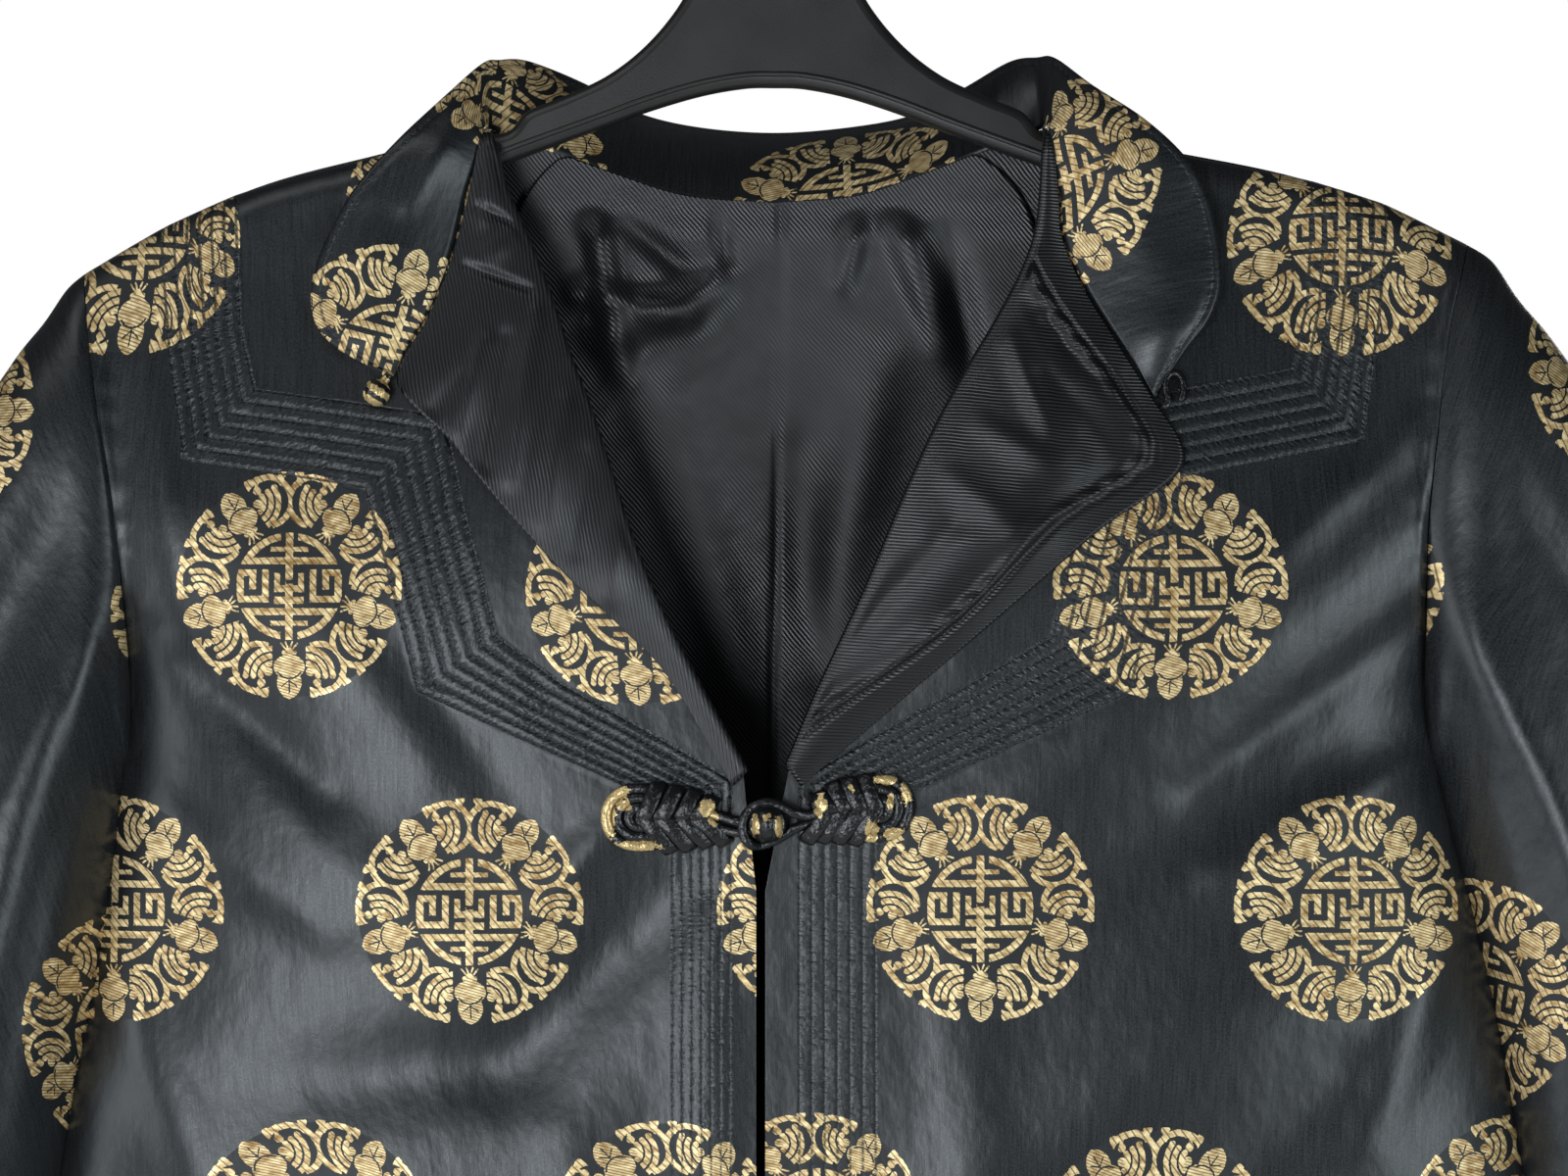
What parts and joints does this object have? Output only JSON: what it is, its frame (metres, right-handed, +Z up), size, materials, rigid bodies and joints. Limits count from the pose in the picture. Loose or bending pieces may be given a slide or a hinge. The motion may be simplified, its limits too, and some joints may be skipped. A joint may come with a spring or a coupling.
{
  "type": "changshan on a hanger",
  "caption": "Long satin brocade gown with a stand collar, turned-out lapels, set-in sleeves and frog closures, hung on a plastic hanger.",
  "frame": {"origin": "the point of the hanger's hook that bears on a rail, on the underside of the top of the hook", "axes": "+Z up, +X towards the wearer's left sleeve, and the front of the gown faces -Y"},
  "size_m": [0.7753, 0.098, 1.3739],
  "materials": {
    "brocade": "black satin with round gold medallions",
    "twill": "black twill lining",
    "cord": "black satin cord with gold patches",
    "plastic": "semi-matt black moulded plastic"
  },
  "bodies": {
    "root": {"hanger": "plastic", "back": "brocade", "lining_back": "twill", "collar": "brocade", "front_right": "brocade", "facing_right": "twill", "sleeve_right": "brocade", "front_left": "brocade", "facing_left": "twill", "sleeve_left": "brocade", "frog_knot_1": "cord", "frog_loop_1": "cord", "frog_knot_2": "cord", "frog_loop_2": "cord", "frog_knot_3": "cord", "frog_loop_3": "cord", "neck_button": "cord", "neck_loop": "cord"}
  },
  "joints": []
}
